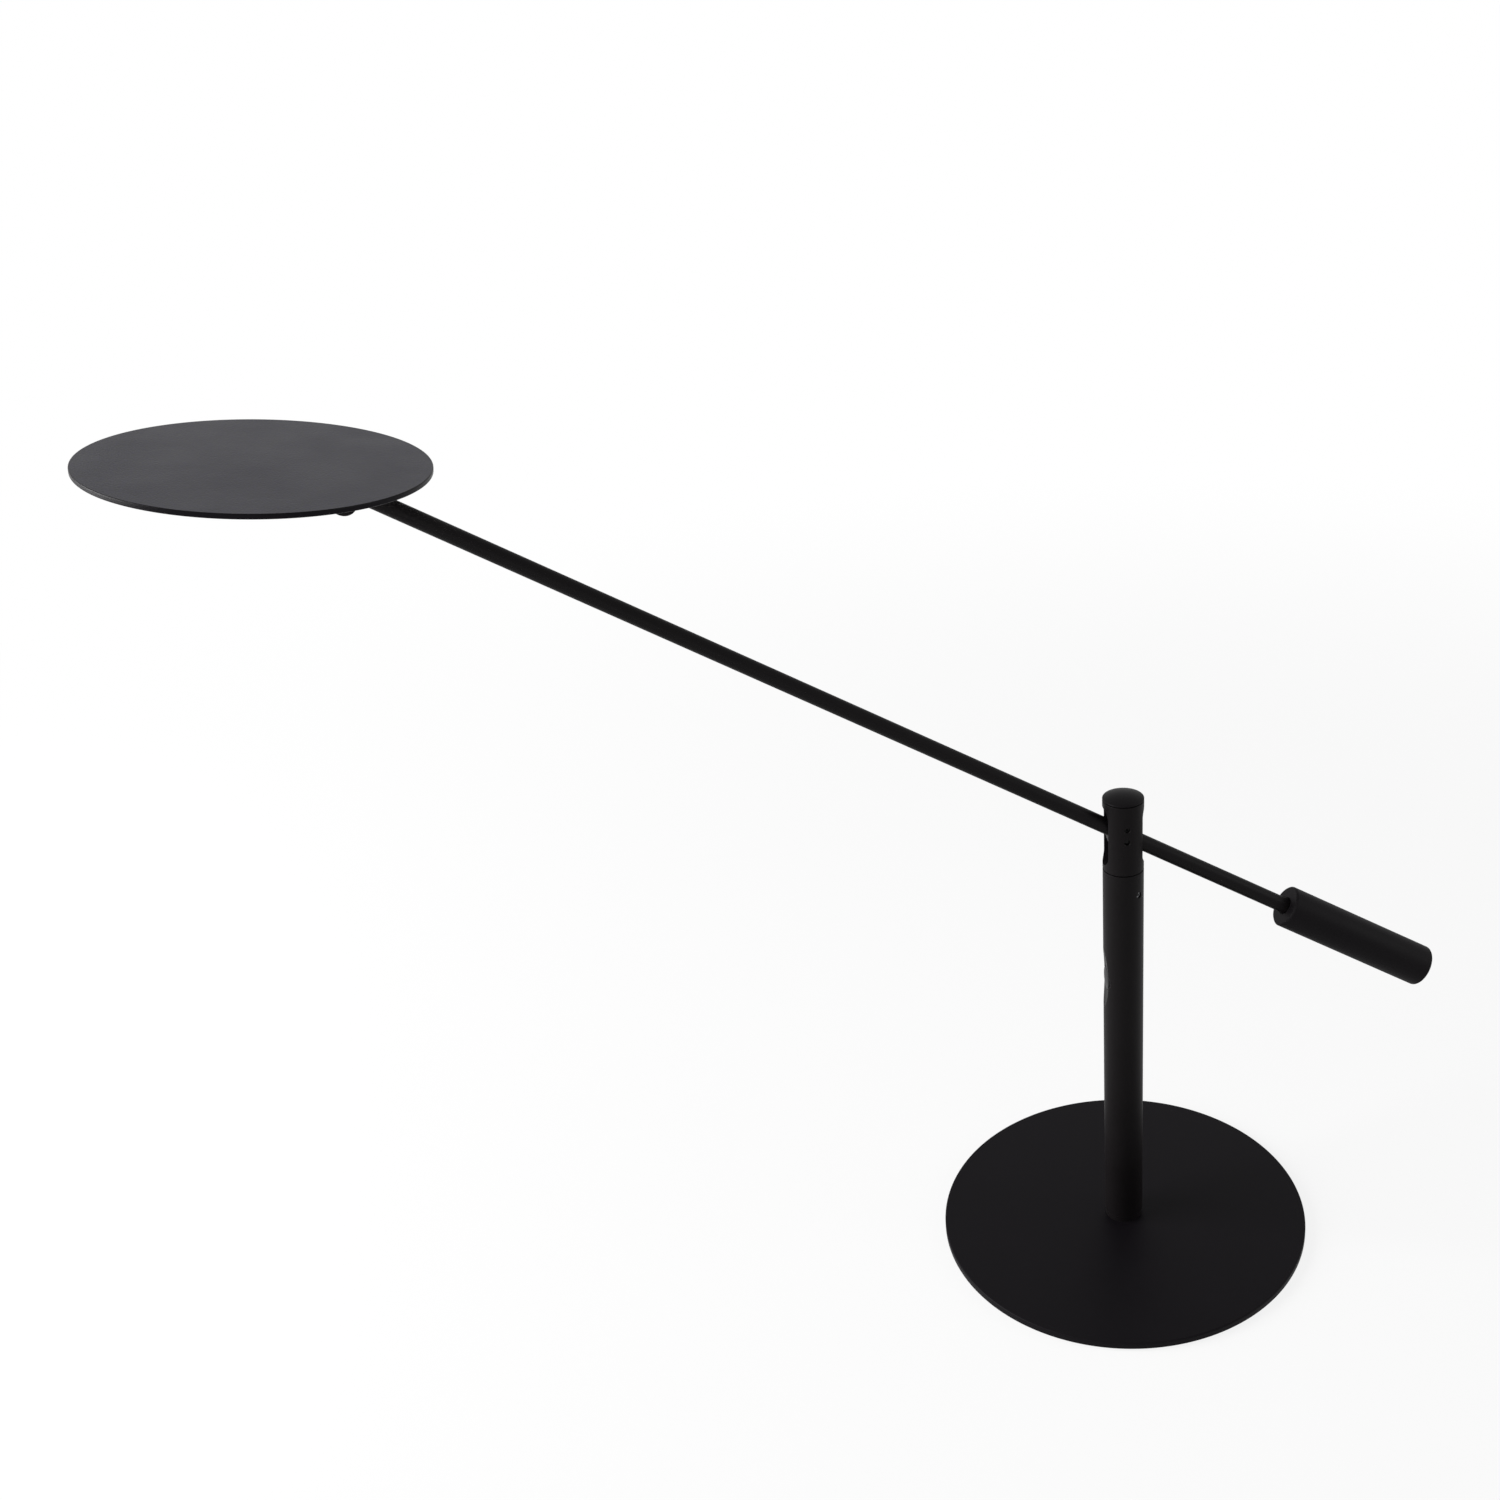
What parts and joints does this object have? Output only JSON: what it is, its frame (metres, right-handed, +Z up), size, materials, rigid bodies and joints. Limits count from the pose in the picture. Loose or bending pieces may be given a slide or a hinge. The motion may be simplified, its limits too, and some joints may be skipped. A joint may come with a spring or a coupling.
{
  "type": "desk lamp",
  "caption": "Balance desk lamp: round weighted base, slim stem with a slotted swivel head, straight pivoting arm with a cylindrical counterweight and a thin round tilting light.",
  "frame": {"origin": "centre of the base's underside, on the stem's axis", "axes": "+Z up along the stem; the arm lies in the XZ plane with the light towards -X and the counterweight towards +X; the dimmer button faces -X"},
  "size_m": [0.6087, 0.2, 0.4724],
  "materials": {
    "base_black": "fine matte black powder coat",
    "stem_black": "satin black powder coat",
    "knuckle_black": "satin black powder coat",
    "arm_black": "satin black powder coat",
    "weight_black": "satin black powder coat",
    "light_grey": "fine sandy dark grey powder coat",
    "hinge_black": "satin black powder coat",
    "pad_rubber": "matte foam rubber",
    "inlet_rubber": "matte",
    "button_black": "smooth",
    "housing_black": "moulded",
    "nylon_black": "moulded",
    "board_green": "solder mask",
    "lead_sleeve": "smooth sleeve",
    "steel_screw": "zinc plated",
    "black_screw": "black oxide",
    "steel_plug": "turned",
    "guide_clear": "polished clear acrylic",
    "diffuser_white": "frosted",
    "film_white": "white film",
    "strip_white": "flexible board",
    "led_yellow": "phosphor"
  },
  "bodies": {
    "base": {"base_pad": "pad_rubber", "base_plate": "base_black", "base_bolt": "steel_screw", "foot_ring": "base_black", "foot_plug": "steel_plug", "stem_tube": "stem_black", "cable_inlet": "inlet_rubber", "stem_lead": "lead_sleeve", "driver_board": "board_green", "dimmer_housing": "housing_black", "dimmer_board": "board_green", "swivel_bush": "nylon_black", "stop_screw": "steel_screw"},
    "button": {"dimmer_button": "button_black"},
    "stem_head": {"knuckle": "knuckle_black", "knuckle_cap": "knuckle_black", "pivot_pin": "black_screw", "tension_screw": "black_screw", "pivot_washers": "nylon_black"},
    "arm": {"arm_hub": "knuckle_black", "hub_screw": "black_screw", "arm_tube": "arm_black", "arm_lead": "lead_sleeve", "counterweight": "weight_black", "weight_screw": "black_screw", "arm_eye": "arm_black"},
    "light": {"hinge_ears": "hinge_black", "hinge_screw": "black_screw", "hinge_nut": "black_screw", "hinge_washers": "nylon_black", "ear_screws": "black_screw", "light_shell": "light_grey", "reflector_film": "film_white", "light_guide": "guide_clear", "diffuser": "diffuser_white", "led_strip": "strip_white", "edge_leds": "led_yellow"}
  },
  "joints": [
    {"name": "dimmer_press", "type": "slide", "parent": "base", "child": "button", "axis": [1, 0, 0], "range_m": [0, 0.0008], "stiffness_N_per_m": 2000, "springref_m": -0.0003},
    {"name": "stem_swivel", "type": "hinge", "parent": "base", "child": "stem_head", "pos_m": [0, 0, 0.2255], "axis": [0, 0, 1], "range_deg": [-160, 160]},
    {"name": "arm_tilt", "type": "hinge", "parent": "stem_head", "child": "arm", "pos_m": [0, 0, 0.2446], "axis": [0, 1, 0], "range_deg": [-59, 12]},
    {"name": "light_tilt", "type": "hinge", "parent": "arm", "child": "light", "pos_m": [-0.33751, 0, 0.44594], "axis": [0, 1, 0], "range_deg": [-95, 20]}
  ]
}
